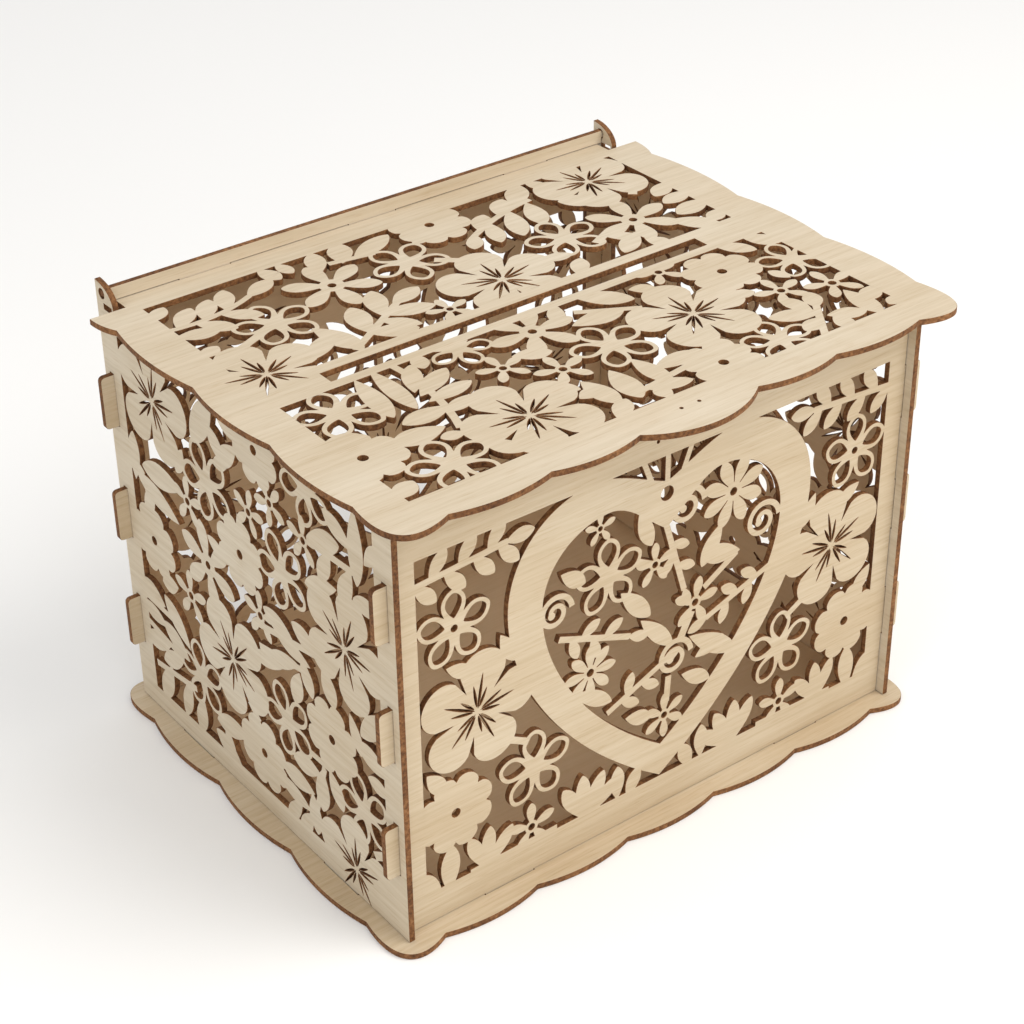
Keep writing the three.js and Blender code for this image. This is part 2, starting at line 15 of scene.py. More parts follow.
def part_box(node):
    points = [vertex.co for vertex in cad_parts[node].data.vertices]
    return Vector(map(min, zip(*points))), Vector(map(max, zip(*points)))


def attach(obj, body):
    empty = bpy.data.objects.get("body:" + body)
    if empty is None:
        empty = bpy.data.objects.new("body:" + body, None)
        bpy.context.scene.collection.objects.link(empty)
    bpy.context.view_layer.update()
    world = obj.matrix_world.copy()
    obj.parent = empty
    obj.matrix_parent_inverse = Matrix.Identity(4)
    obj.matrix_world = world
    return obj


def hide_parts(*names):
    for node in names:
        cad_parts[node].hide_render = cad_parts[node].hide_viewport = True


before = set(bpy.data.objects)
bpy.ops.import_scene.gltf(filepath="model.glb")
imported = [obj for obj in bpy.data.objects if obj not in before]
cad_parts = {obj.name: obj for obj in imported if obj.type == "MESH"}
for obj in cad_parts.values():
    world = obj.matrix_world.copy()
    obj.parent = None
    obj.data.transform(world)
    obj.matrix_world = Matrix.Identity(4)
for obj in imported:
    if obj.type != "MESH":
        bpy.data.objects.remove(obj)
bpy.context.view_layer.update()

MM = 0.001

# ---- places, read from the CAD frame, in millimetres -----------------------------------------


def cad_box(name):
    """The lowest and highest corner of a CAD node, in millimetres."""
    low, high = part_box(name)
    return np.array(low) / MM, np.array(high) / MM


BASE_LOW, BASE_HIGH = cad_box("base_plate")
FRONT_LOW, FRONT_HIGH = cad_box("front_panel")
BACK_LOW, BACK_HIGH = cad_box("back_panel")
SIDE_LOW, SIDE_HIGH = cad_box("left_side_panel")
LID_LOW, LID_HIGH = cad_box("lid_panel")
BAR_LOW, BAR_HIGH = cad_box("hinge_bar")

PLY = BASE_HIGH[2] - BASE_LOW[2]  # sheet thickness
GAP = 0.3  # clearance between plugged sheets
BASE_TOP = BASE_HIGH[2]
WALL_HEIGHT = FRONT_HIGH[2] - BASE_TOP
BACK_HEIGHT = BACK_HIGH[2] - BASE_TOP
HALF_DEPTH = SIDE_HIGH[1]  # rear edge of the side panels
HALF_WIDTH = -SIDE_LOW[0]  # outer faces of the side panels
TAB_END = FRONT_HIGH[0]  # outer end of the side tabs
LID_TOP = LID_HIGH[2]
HINGE_Y = (BAR_LOW[1] + BAR_HIGH[1]) / 2
HINGE_ABOVE_LID = 4.8  # hinge axis above the lid's top face

TAB_HALF = 14.0  # half length of every tab
TAB_HEIGHTS = (50.5, 113.5, 176.5)  # middles of the side tabs above the base plate
BASE_TABS_CROSS = 90.0  # base tabs of the front and back panels, along X
BASE_TABS_SIDE = 64.0  # base tabs of the side panels, along Y
RAIL_TABS = (-96.0, 0.0, 96.0)  # hinge bar tabs, along X
PANEL_Y = (BACK_LOW[1] + BACK_HIGH[1]) / 2
SIDE_X = HALF_WIDTH - PLY / 2

BEVEL = 0.2  # worn, burnt corner along every cut edge
SIDE_TAB_ROUNDING = 2.6  # corners of the tabs through the side panels
BASE_TAB_ROUNDING = 0.8  # corners of the tabs into the base and the lid
PIVOT_RADIUS = 2.6  # round hole of the ear, which the bar's tenon turns in
PILOT_RADIUS = 0.8  # fine drilled holes for a catch
LID_PILOTS = ((-5, -127), (5, -127))
FRONT_PILOT = (-6, 205)
EAR_SLOT_FROM, EAR_SLOT_TO = 105.0, 112.5  # small slot under the ear, along Y
EAR_SLOT_FOOT, EAR_SLOT_HEAD = 0.2, 3.2  # the same, above the lid's underside

# ---- plane curves, arrays of points in millimetres ---------------------------------------------


def turned(points, degrees, x=0.0, y=0.0):
    """The points turned about the origin, then moved to x, y."""
    a = math.radians(degrees)
    turn = np.array([[math.cos(a), math.sin(a)], [-math.sin(a), math.cos(a)]])
    return points @ turn + (x, y)


def rectangle(x0, y0, x1, y1):
    """Four corners, anticlockwise."""
    return np.array([(x0, y0), (x1, y0), (x1, y1), (x0, y1)], float)


def ellipse(x, y, along, across, turn=0.0, steps=32):
    """along * cos t, across * sin t."""
    t = np.linspace(0, 2 * np.pi, steps, endpoint=False)
    return turned(np.column_stack([along * np.cos(t), across * np.sin(t)]), turn, x, y)


def blade(x, y, start, end, width, turn, fullest=0.6, blunt=0.6, steps=14):
    """A petal or leaf lying along a ray from x, y, between two distances.

    The half width is width / 2 * sin(pi * s^k)^blunt, with k set so that it peaks at `fullest`.
    """
    s = (1 - np.cos(np.linspace(0, np.pi, steps + 1))) / 2
    k = math.log(0.5) / math.log(fullest)
    half = width / 2 * np.clip(np.sin(np.pi * s**k), 0, 1) ** blunt
    along = start + (end - start) * s
    lower = np.column_stack([along, -half])[:-1]
    upper = np.column_stack([along, half])[:0:-1]
    return turned(np.vstack([lower, upper]), turn, x, y)


def lobed(x, y, radius, count, waist, turn, blunt=0.5, steps=14):
    """Polar curve radius * (waist + (1 - waist) * |cos(count * a / 2)|^blunt)."""
    a = np.linspace(0, 2 * np.pi, count * steps, endpoint=False) + np.pi / count
    reach = radius * (waist + (1 - waist) * np.abs(np.cos(count * a / 2)) ** blunt)
    return turned(np.column_stack([reach * np.cos(a), reach * np.sin(a)]), turn, x, y)


def bezier(points, steps=16):
    """A cubic Bezier curve through its four control points, without its last point."""
    a, b, c, d = (np.array(p, float) for p in points)
    t = np.linspace(0, 1, steps, endpoint=False)[:, None]
    return a * (1 - t) ** 3 + 3 * b * t * (1 - t) ** 2 + 3 * c * t**2 * (1 - t) + d * t**3


def arc(start, end, bulge, steps=16):
    """A circular arc standing out to the right of the way from start to end, without its end."""
    start, end = np.array(start, float), np.array(end, float)
    way = end - start
    half = np.hypot(*way) / 2
    radius = (half**2 + bulge**2) / (2 * bulge)
    outward = np.array([way[1], -way[0]]) / (2 * half)
    centre = (start + end) / 2 + outward * (bulge - radius)
    first = math.atan2(*(start - centre)[::-1])
    sweep = 4 * math.atan2(bulge, half)
    t = first + sweep * np.linspace(0, 1, steps, endpoint=False)
    return centre + radius * np.column_stack([np.cos(t), np.sin(t)])


def mirrored(points):
    """The mirror image across the Y axis, in the same direction of travel."""
    return (points * (-1, 1))[::-1]


def ribbon(path, width):
    """The outline of a strip along a path: the path moved half the width to each side."""
    way = np.gradient(path, axis=0)
    side = np.column_stack([-way[:, 1], way[:, 0]])
    side /= np.linalg.norm(side, axis=1, keepdims=True)
    half = np.broadcast_to(np.asarray(width, float) / 2, len(path))[:, None]
    return np.vstack([path - side * half, (path + side * half)[::-1]])


# ---- floral motifs: (outlines, holes). Wood fills any outline and none of the motif's own holes --


def leaf(x0, y0, x1, y1, width):
    """A plump leaf with a rounded tip, from its foot to its tip."""
    length = math.hypot(x1 - x0, y1 - y0)
    turn = math.degrees(math.atan2(y1 - y0, x1 - x0))
    return [blade(x0, y0, 0, length, width, turn, 0.56, 0.68)], []


def fan(x, y, length, headings):
    """Leaves that spread from one foot."""
    return [blade(x, y, 0, length, 0.33 * length, h, 0.64, 0.66) for h in headings], []


def stem(x0, y0, x1, y1, width=3.4, bow=0.0):
    """A strip along the parabola between two points, bowed to its left by `bow`."""
    t = np.linspace(0, 1, 9)
    way = np.array([x1 - x0, y1 - y0])
    left = np.array([-way[1], way[0]]) / np.hypot(*way)
    path = np.array([x0, y0]) + np.outer(t, way) + np.outer(4 * bow * t * (1 - t), left)
    return [ribbon(path, width)], []


def sprig(x0, y0, x1, y1, left, right, size, bow=0.0):
    """A stem with a leaf at its end, and more on its left and right at fractions of its length."""
    way = np.array([x1 - x0, y1 - y0])
    length = np.hypot(*way)
    across = np.array([-way[1], way[0]]) / length
    heading = math.degrees(math.atan2(way[1], way[0]))
    outlines, _ = stem(x0, y0, x1, y1, 3.6, bow)
    for stations, lean in ((left, 50), (right, -50), ((0.97,), 0)):
        for t in stations:
            foot = np.array([x0, y0]) + way * t + across * 4 * bow * t * (1 - t)
            bend = math.degrees(4 * bow / length * (1 - 2 * t))
            outlines.append(blade(*foot, 0, size, 0.5 * size, heading + bend + lean, 0.56, 0.66))
    return outlines, []


def loop_flower(x, y, radius, turn):
    """Five rounded petals, each an open ring, on a small disc."""
    heads = [turn + 72 * i for i in range(5)]
    outlines = [blade(x, y, 0, radius, 0.66 * radius, h, 0.62, 0.55, 18) for h in heads]
    holes = [blade(x, y, 0.27 * radius, 0.88 * radius, 0.42 * radius, h, 0.6, 0.6) for h in heads]
    return outlines + [ellipse(x, y, 0.22 * radius, 0.22 * radius)], holes


def eyed_loop_flower(x, y, radius, turn):
    """A loop flower with a round eye."""
    outlines, holes = loop_flower(x, y, radius, turn)
    return outlines, holes + [ellipse(x, y, 1.7, 1.7, steps=14)]


def hibiscus_slits(x, y, radius, turn):
    """Fine slits that fan out from the middle of a hibiscus, three to each petal."""
    slits = []
    for i in range(5):
        head = turn + 72 * i
        for aside, start, reach in ((0, 0.05, 0.62), (17, 0.08, 0.45), (-16, 0.08, 0.38)):
            slits.append(blade(x, y, start * radius, reach * radius, 1.35, head + aside, 0.42, 0.9, 6))
    return slits


def hibiscus(x, y, radius, turn):
    """Five broad petals parted by deep narrow notches, with slits in their middle."""
    return [lobed(x, y, radius, 5, 0.4, turn, 0.36, 20)], hibiscus_slits(x, y, radius, turn)


def daisy(x, y, radius, count=8):
    """Rounded petals grown together, with a round eye."""
    return [lobed(x, y, radius, count, 0.8, 20, 0.55, 10)], [ellipse(x, y, 2.3, 2.3, steps=16)]


def star_flower(x, y, radius, count, turn, width=0.42, blunt=0.62):
    """Separate petals round a small pierced disc."""
    heads = [turn + 360 / count * i for i in range(count)]
    outlines = [blade(x, y, 0, radius, width * radius, h, 0.66, blunt) for h in heads]
    eye = ellipse(x, y, min(2.0, 0.13 * radius), min(2.0, 0.13 * radius), steps=12)
    return outlines + [ellipse(x, y, 0.27 * radius, 0.27 * radius)], [eye]


def curl(x, y, radius, turn=0.0, sense=1):
    """A tendril wound into a spiral: its radius shrinks evenly over one and a half turns."""
    t = np.linspace(0, 1, 44)
    a = math.radians(turn) + sense * 2 * np.pi * 1.55 * t
    reach = (radius - 1.6) * (1 - 0.78 * t)
    path = np.column_stack([x + reach * np.cos(a), y + reach * np.sin(a)])
    return [ribbon(path, 3.4 - 0.6 * t), ellipse(*path[-1], 2.2, 2.2, steps=14)], []


def heart(foot, half, shoulder, top, cleft, steps=24):
    """A heart mirrored about x = 0: three Bezier curves on each side, from foot to cleft."""
    rise, dome = shoulder - foot, top - shoulder
    crown = 0.47 * half
    side = np.vstack([
        bezier([(0, foot), (0.64 * half, foot + 0.3 * rise), (half, foot + 0.7 * rise),
                (half, shoulder)], steps),
        bezier([(half, shoulder), (half, top - 0.4 * dome), (0.75 * half, top), (crown, top)], steps),
        bezier([(crown, top), (0.64 * crown, top), (0.3 * crown, cleft + 0.3 * (top - cleft)),
                (0, cleft)], steps),
    ])
    return np.vstack([side, [(0, cleft)], mirrored(side)[:-1]])


def mirrored_motif(motif):
    """The motif's mirror image across the Y axis."""
    outlines, holes = motif
    return [mirrored(o) for o in outlines], [mirrored(h) for h in holes]


# ---- from plane curves to sheets -----------------------------------------------------------------


def inside(points, loop):
    """Which points lie in a closed curve: an odd number of its edges pass to their right."""
    near = np.all((points >= loop.min(0)) & (points <= loop.max(0)), axis=1)
    result = np.zeros(len(points), bool)
    if not near.any():
        return result
    px, py = points[near].T[:, :, None]
    ax, ay = loop.T
    bx, by = np.roll(loop, -1, axis=0).T
    spans = (ay > py) != (by > py)
    with np.errstate(divide="ignore", invalid="ignore"):
        crossing = ax + (py - ay) * (bx - ax) / (by - ay)
    result[near] = (np.count_nonzero(spans & (px < crossing), axis=1) % 2).astype(bool)
    return result


def groups(count, pairs):
    """Labels of the connected groups of `count` things that `pairs` join."""
    label = np.arange(count)
    while True:
        lowest = np.minimum(label[pairs[:, 0]], label[pairs[:, 1]])
        new = label.copy()
        np.minimum.at(new, pairs[:, 0], lowest)
        np.minimum.at(new, pairs[:, 1], lowest)
        new = new[new]
        if np.array_equal(new, label):
            return label
        label = new


SPECK = 0.9  # square millimetres: smaller specks of air or wood aren't cut
MERGE = 1e-5  # millimetres: points of two curves that are closer become one
TINY = 1e-9  # keeps a division by a length above zero


def triangulate(outline, windows, cuts, motifs):
    """Triangles of the wood: the sheet without its windows and cuts, and the motifs in the windows.

    Triangles that share a side and are both wood, or both air, form a group. A group under SPECK is
    turned into the other, and wood that isn't part of the largest group is left out.
    """
    loops = [outline, *windows, *cuts]
    for outlines, holes in motifs:
        loops += [*outlines, *holes]
    points = np.vstack(loops)
    starts = np.cumsum([0] + [len(loop) for loop in loops])
    edges = []
    for first, last in zip(starts[:-1], starts[1:]):
        ring = np.arange(first, last)
        edges.append(np.column_stack([ring, np.roll(ring, -1)]))
    result = delaunay_2d_cdt(points.tolist(), np.vstack(edges).tolist(), [], 0, MERGE)
    verts, tris = np.array(result[0]), np.array(result[2])
    corners = verts[tris]
    area = np.abs(np.cross(corners[:, 1] - corners[:, 0], corners[:, 2] - corners[:, 0])) / 2
    middle = corners.mean(axis=1)

    in_window = np.any([inside(middle, w) for w in windows], axis=0) if windows else area < 0
    lace = np.zeros(len(tris), bool)
    for outlines, holes in motifs:
        part = np.any([inside(middle, o) for o in outlines], axis=0)
        if holes:
            part &= ~np.any([inside(middle, h) for h in holes], axis=0)
        lace |= part
    wood = inside(middle, outline) & (~in_window | lace)
    for cut in cuts:
        wood &= ~inside(middle, cut)

    sides = np.sort(tris[:, [[0, 1], [1, 2], [2, 0]]].reshape(-1, 2), axis=1)
    owner = np.repeat(np.arange(len(tris)), 3)
    order = np.lexsort(sides.T)
    same = np.all(sides[order][1:] == sides[order][:-1], axis=1)
    pairs = np.column_stack([owner[order][:-1][same], owner[order][1:][same]])
    like = pairs[wood[pairs[:, 0]] == wood[pairs[:, 1]]]
    label = groups(len(tris), like)
    size = np.bincount(label, area, minlength=len(tris))[label]
    speck = (size < SPECK) & inside(middle, outline)
    wood[speck] = ~wood[speck]
    label = groups(len(tris), pairs[wood[pairs[:, 0]] & wood[pairs[:, 1]]])
    size = np.bincount(label[wood], area[wood], minlength=len(tris))
    loose = wood & (label != size.argmax())
    if loose.any():
        print("loose pieces left out:", len(np.unique(label[loose])))
    return verts, tris[wood & ~loose]


def sheet_mesh(name, flat, place, face):
    """A sheet of ply from its triangles: two faces, and walls with a bevel along each cut.

    Each point of a cut is drawn in by the bevel on both faces. `place` turns (u, v, depth) into
    (x, y, z). Material 0 is the face and material 1 the burnt edge.
    """
    verts, tris = flat
    used, tris = np.unique(tris, return_inverse=True)
    verts, tris = verts[used], tris.reshape(-1, 3)
    count = len(verts)
    sides = tris[:, [[0, 1], [1, 2], [2, 0]]].reshape(-1, 2)
    key = sides[:, 0] * count + sides[:, 1]
    back = sides[:, 1] * count + sides[:, 0]
    rim = sides[~np.isin(key, back)]

    way = verts[rim[:, 1]] - verts[rim[:, 0]]
    way /= np.maximum(np.linalg.norm(way, axis=1, keepdims=True), TINY)
    inward = np.column_stack([-way[:, 1], way[:, 0]])
    draw = np.zeros_like(verts)
    np.add.at(draw, rim[:, 0], inward)
    np.add.at(draw, rim[:, 1], inward)
    draw /= np.maximum(np.linalg.norm(draw, axis=1, keepdims=True), TINY)
    drawn = verts + draw * BEVEL

    on_rim = np.unique(rim)
    wall = np.full(count, -1)
    wall[on_rim] = np.arange(len(on_rim))
    low = 2 * count
    high = low + len(on_rim)
    levels = [
        np.column_stack([drawn, np.zeros(count)]),
        np.column_stack([drawn, np.full(count, PLY)]),
        np.column_stack([verts[on_rim], np.full(len(on_rim), BEVEL)]),
        np.column_stack([verts[on_rim], np.full(len(on_rim), PLY - BEVEL)]),
    ]
    a, b = rim.T
    rings = [(a, b), (low + wall[a], low + wall[b]), (high + wall[a], high + wall[b]),
             (count + a, count + b)]
    quads = [np.column_stack([p[0], p[1], q[1], q[0]]) for p, q in zip(rings[:-1], rings[1:])]
    faces = tris[:, ::-1].tolist() + (tris + count).tolist() + np.vstack(quads).tolist()

    mesh = bpy.data.meshes.new(name)
    mesh.from_pydata(place(np.vstack(levels)) * MM, [], faces)
    mesh.materials.append(face)
    mesh.materials.append(EDGE)
    slots = np.zeros(len(faces), np.int32)
    slots[2 * len(tris):] = 1
    mesh.polygons.foreach_set("material_index", slots)
    mesh.update()
    piece = bpy.data.objects.new(name, mesh)
    bpy.context.scene.collection.objects.link(piece)
    return piece


def facing_front(outer_y, foot_z):
    """Places a flat piece upright: u along X, v up, depth 0 on its rear face."""
    return lambda p: np.column_stack([p[:, 0], outer_y + PLY - p[:, 2], foot_z + p[:, 1]])


def facing_side(low_x, foot_z):
    """Places a flat piece upright along the side: u along Y, v up, depth along X."""
    return lambda p: np.column_stack([low_x + p[:, 2], p[:, 0], foot_z + p[:, 1]])


def lying(low_z):
    """Places a flat piece level, at a height."""
    return lambda p: p + (0, 0, low_z)


# ---- outlines of the sheets --------------------------------------------------------------------

SCALLOP = 4.0  # how far the edge scallops stand out


def through(points, bulge):
    """Scallops through a row of meeting points."""
    return np.vstack([arc(a, b, bulge) for a, b in zip(points[:-1], points[1:])])


def corner_lobe(front, side):
    """Control points of the lobe round a front right corner, from the front edge to the side edge."""
    return [front, (side[0] - 3.5, front[1] - 10.5), (side[0] + 5.5, front[1] + 0.5), side]


def tab_slot(x, y, runs_along_x):
    """The slot for one tab."""
    long, short = TAB_HALF + GAP, PLY / 2 + GAP
    half = (long, short) if runs_along_x else (short, long)
    return rectangle(x - half[0], y - half[1], x + half[0], y + half[1])


def pilot_hole(x, y):
    """A fine drilled hole."""
    return ellipse(x, y, PILOT_RADIUS, PILOT_RADIUS, steps=12)


def base_outline():
    """Five scallops at the front, three on each side, and a lobe round each corner."""
    front = [(x, -123.6) for x in (-133.5, -81, -27, 27, 81, 133.5)]
    right = [(157.7, y) for y in (-95.6, -32.3, 32.3, 95.6)]
    lobe = corner_lobe(front[-1], right[0])
    rear_lobe = [(x, -y) for x, y in lobe][::-1]
    half = np.vstack([through(front, SCALLOP), bezier(lobe, 28), through(right, SCALLOP),
                      bezier(rear_lobe, 28)])
    return np.vstack([half, -half])


def rounded(corners, radius, steps=5):
    """A polyline whose every corner is a quadratic curve cut in by the radius."""
    corners = np.array(corners, float)
    out = []
    for before, here, after in zip(corners[:-2], corners[1:-1], corners[2:]):
        a = here + (before - here) / np.linalg.norm(before - here) * radius
        b = here + (after - here) / np.linalg.norm(after - here) * radius
        t = np.linspace(0, 1, steps)[:, None]
        out.append(a * (1 - t) ** 2 + 2 * here * t * (1 - t) + b * t**2)
    return np.vstack([corners[:1], *out, corners[-1:]])


def base_tab(middle):
    """One tab on a bottom edge, from left to right."""
    low, high, foot = middle - TAB_HALF, middle + TAB_HALF, GAP - PLY
    return rounded([(low, GAP), (low, foot), (high, foot), (high, GAP)], BASE_TAB_ROUNDING, 4)


def cross_outline(height):
    """A front or back panel: three round-cornered tabs on each upright edge, two below."""
    edge = HALF_WIDTH - PLY - GAP
    tabs = [rounded([(edge, z - TAB_HALF), (TAB_END, z - TAB_HALF), (TAB_END, z + TAB_HALF),
                     (edge, z + TAB_HALF)], SIDE_TAB_ROUNDING, 7) for z in TAB_HEIGHTS]
    right = np.vstack([*tabs, [(edge, height)]])
    return np.vstack([[(-edge, GAP)], base_tab(-BASE_TABS_CROSS), base_tab(BASE_TABS_CROSS),
                      [(edge, GAP)], right, mirrored(right)])


EAR_LENGTH, EAR_RISE = 15.6, SIDE_HIGH[2] - LID_TOP  # along Y, and above the lid


def side_outline():
    """A side panel: two tabs below, and the quarter-ellipse ear at the rear top."""
    t = np.linspace(0, np.pi / 2, 22)
    ear_foot = LID_TOP - BASE_TOP
    ear = np.column_stack([HALF_DEPTH - EAR_LENGTH * np.sin(t), ear_foot + EAR_RISE * np.cos(t)])
    return np.vstack([[(-HALF_DEPTH, GAP)], base_tab(-BASE_TABS_SIDE), base_tab(BASE_TABS_SIDE),
                      [(HALF_DEPTH, GAP)], ear, [(HALF_DEPTH - EAR_LENGTH, WALL_HEIGHT)],
                      [(-HALF_DEPTH, WALL_HEIGHT)]])


def lid_outline():
    """Two scallops each side of a wide lip at the front, lobed corners, and the rear tongue."""
    left = [(x, -133.5) for x in (-131.7, -80, -33.3)]
    right = [(-x, y) for x, y in left][::-1]
    side = [(158.5, y) for y in (-105.5, -44, 18, 85)]
    rear = [(162.5, 102.8), (144, 102.8), (144, HALF_DEPTH)]
    right_side = np.vstack([bezier(corner_lobe(right[-1], side[0]), 28), through(side, SCALLOP - 0.5),
                            arc(side[-1], rear[0], 1.2, 6), rear])
    return np.vstack([through(left, SCALLOP), arc(left[-1], right[0], 11.5, 28),
                      through(right, SCALLOP), right_side, mirrored(right_side)[:-1]])


def bar_outline():
    """The hinge bar: tabs into the lid below, and a square tenon at each end."""
    end = HALF_WIDTH - PLY - GAP
    low, high = HINGE_ABOVE_LID - PLY / 2, HINGE_ABOVE_LID + PLY / 2
    feet = [base_tab(x) for x in RAIL_TABS]
    right = np.array([(end, GAP), (end, low), (HALF_WIDTH - GAP, low), (HALF_WIDTH - GAP, high),
                      (end, high), (end, BAR_HIGH[2] - LID_TOP)])
    return np.vstack([*feet, right, mirrored(right)])


# ---- the fretwork of each panel ------------------------------------------------------------------

CORNER_ART = [
    eyed_loop_flower(-117, 155, 20, 90), hibiscus(-106, 106, 32, 80), loop_flower(-75, 60, 21, 90),
    daisy(-119, 56, 21), star_flower(-77, 26, 14, 5, 90),
    sprig(-142, 183, -88, 187, (0.24, 0.52, 0.8), (0.1, 0.38, 0.66, 0.9), 16),
    leaf(-124, 12, -122, 39, 11), leaf(-128, 14, -142, 30, 10),
    fan(-103, 14, 25, (112, 84, 52)), fan(-46, 14, 27, (118, 92, 64, 38)),
    leaf(-20, 14, -13, 30, 9), leaf(-26, 16, -26, 36, 9), stem(-112, 17, -62, 18, 4),
    leaf(-122, 136, -108, 128, 8), leaf(-134, 84, -124, 70, 9), stem(-92, 84, -78, 76, 4),
    leaf(-93, 141, -85, 124, 8),
]

HEART_RING = (
    [heart(18, 89, 148, 197.5, 183)],
    [heart(37, 70, 142, 179, 158), ellipse(0, 176.5, 3.6, 3.6)],
)

HEART_ART = [
    curl(12, 165, 12), star_flower(40, 162, 19, 8, 22), curl(59, 139, 12), curl(-63, 139, 11),
    loop_flower(-33, 146, 20, 90), star_flower(-38, 173, 9, 5, 90), star_flower(-6, 141, 12, 5, 90),
    star_flower(-43, 98, 15, 8, 90, 0.4), star_flower(19, 110, 14, 5, 80), curl(7, 84, 12),
    star_flower(2, 53, 13, 6, 30),
    sprig(-61, 124, -20, 108, (0.3, 0.62), (0.16, 0.45), 13), leaf(-26, 134, -8, 114, 10),
    sprig(0, 160, 12, 120, (0.28, 0.6), (0.44,), 12), leaf(46, 128, 22, 134, 11),
    sprig(66, 112, 26, 98, (0.3, 0.66), (0.2, 0.5), 13), leaf(34, 148, 22, 128, 10),
    leaf(16, 92, 46, 72, 11), leaf(-14, 114, 6, 92, 9), sprig(-33, 70, 0, 84, (0.34,), (0.24, 0.6), 13),
    leaf(-52, 90, -30, 76, 9), leaf(-22, 62, -6, 56, 9), leaf(12, 72, 30, 62, 9),
    leaf(20, 78, 38, 84, 9), leaf(-60, 158, -46, 148, 9), leaf(-16, 172, -8, 152, 9),
    stem(4, 75, 3, 60, 4), stem(24, 116, 44, 128, 4), stem(17, 106, 10, 92, 5), stem(-17, 147, -8, 142, 4),
    stem(-7, 180, -15, 200, 3.2), stem(0, 180, 0, 200, 3.2), stem(7, 180, 15, 200, 3.2),
]

BACK_HEART_ART = [
    loop_flower(-33, 142, 24, 90), loop_flower(33, 142, 24, 90), hibiscus(0, 92, 31, 90),
    star_flower(0, 132, 15, 5, 270), sprig(-70, 124, -24, 106, (0.3, 0.6), (0.2, 0.48), 14),
    mirrored_motif(sprig(-70, 124, -24, 106, (0.3, 0.6), (0.2, 0.48), 14)),
    leaf(-58, 92, -20, 80, 12), leaf(58, 92, 20, 80, 12), sprig(0, 34, 0, 70, (0.3, 0.7), (0.3, 0.7), 14),
    leaf(-34, 184, -33, 156, 10), leaf(34, 184, 33, 156, 10), stem(0, 164, 0, 144, 4),
    stem(-7, 180, -15, 200, 3.2), stem(0, 180, 0, 200, 3.2), stem(7, 180, 15, 200, 3.2),
]

LOW_HIBISCUS = (-78, 15, 30, 90)  # its slits run on into the frame below

SIDE_ART = [
    hibiscus(-79, 139, 32, 110), hibiscus(75, 192, 32, 100), hibiscus(20, 77, 32, 62),
    hibiscus(*LOW_HIBISCUS),
    loop_flower(-31, 153, 21, 65), loop_flower(30, 170, 22, 65), loop_flower(-88, 55, 21, 70),
    loop_flower(-27, 69, 21, 65), loop_flower(53, 48, 21, 80), loop_flower(-55, 208, 20, 60),
    daisy(-64, 81, 21), daisy(5, 144, 20), daisy(88, 109, 20), daisy(-2, 35, 21), daisy(-15, 208, 19),
    star_flower(-51, 180, 13, 5, 90), star_flower(-25, 186, 13, 5, 60), star_flower(-6, 172, 13, 5, 30),
    star_flower(-9, 118, 14, 5, 90), star_flower(50, 150, 14, 5, 90), star_flower(56, 94, 15, 5, 90),
    star_flower(36, 122, 24, 6, 80),
    leaf(-92, 217, -92, 178, 12), leaf(-90, 194, -68, 205, 10), leaf(-54, 184, -80, 192, 12),
    leaf(-88, 184, -78, 162, 11), leaf(-72, 184, -62, 166, 10), leaf(-76, 168, -50, 158, 10),
    leaf(-98, 192, -110, 206, 9), leaf(-110, 172, -88, 170, 10), stem(-92, 184, -54, 182, 4),
    leaf(-58, 122, -36, 130, 11), leaf(-38, 118, -12, 125, 11), leaf(-50, 112, -22, 116, 9),
    stem(-56, 122, -4, 112, 4), leaf(-42, 114, -50, 95, 10), leaf(-40, 104, -34, 84, 11),
    leaf(-40, 108, -12, 98, 10), leaf(-26, 98, 2, 92, 9), stem(-48, 108, -6, 100, 4),
    leaf(-60, 120, -68, 100, 12), leaf(-60, 62, -70, 43, 11), leaf(-54, 58, -52, 32, 12),
    leaf(-52, 54, -29, 50, 12), stem(-60, 62, -44, 62, 4), stem(-56, 60, -44, 20, 4),
    leaf(-44, 38, -46, 14, 11), leaf(-46, 38, -18, 39, 12), leaf(-42, 25, -14, 30, 10),
    leaf(-42, 24, -32, 6, 10), leaf(-34, 26, -20, 8, 9), leaf(-56, 30, -60, 8, 9),
    leaf(55, 153, 92, 150, 14), leaf(100, 138, 98, 166, 11), leaf(60, 132, 98, 143, 12),
    leaf(84, 142, 92, 122, 10), leaf(108, 146, 90, 146, 8), leaf(16, 132, 34, 140, 8),
    leaf(62, 58, 84, 80, 12), leaf(84, 72, 108, 77, 13), leaf(64, 50, 88, 62, 12),
    leaf(84, 60, 108, 64, 10), leaf(70, 48, 92, 36, 11), leaf(82, 50, 108, 42, 12),
    stem(72, 68, 106, 70, 4), stem(70, 48, 106, 54, 4), leaf(68, 92, 84, 88, 11),
    leaf(54, 34, 60, 10, 11), leaf(66, 38, 74, 12, 10), leaf(84, 36, 96, 10, 12), leaf(12, 36, 42, 29, 13),
    leaf(20, 10, 44, 22, 12), leaf(34, 30, 28, 10, 9), stem(60, 36, 100, 30, 4),
    leaf(-6, 206, 16, 213, 10), leaf(0, 202, 18, 186, 11), leaf(10, 186, 25, 203, 10),
    leaf(19, 219, 40, 187, 15), leaf(50, 178, 58, 162, 9), leaf(8, 190, 22, 184, 8),
    leaf(-110, 120, -88, 98, 12), leaf(-110, 86, -84, 93, 12), leaf(-110, 76, -92, 78, 9),
    leaf(-80, 106, -88, 86, 9), stem(0, 52, 8, 60, 5), stem(40, 62, 34, 70, 4),
    stem(88, 128, 90, 140, 5), stem(-14, 150, -6, 148, 5), stem(2, 166, 4, 158, 5),
    stem(-104, 40, -94, 34, 5),
]

LEFT_HIBISCUS = (-127, 8, 31, 95)  # its slits run on into the frame beside it

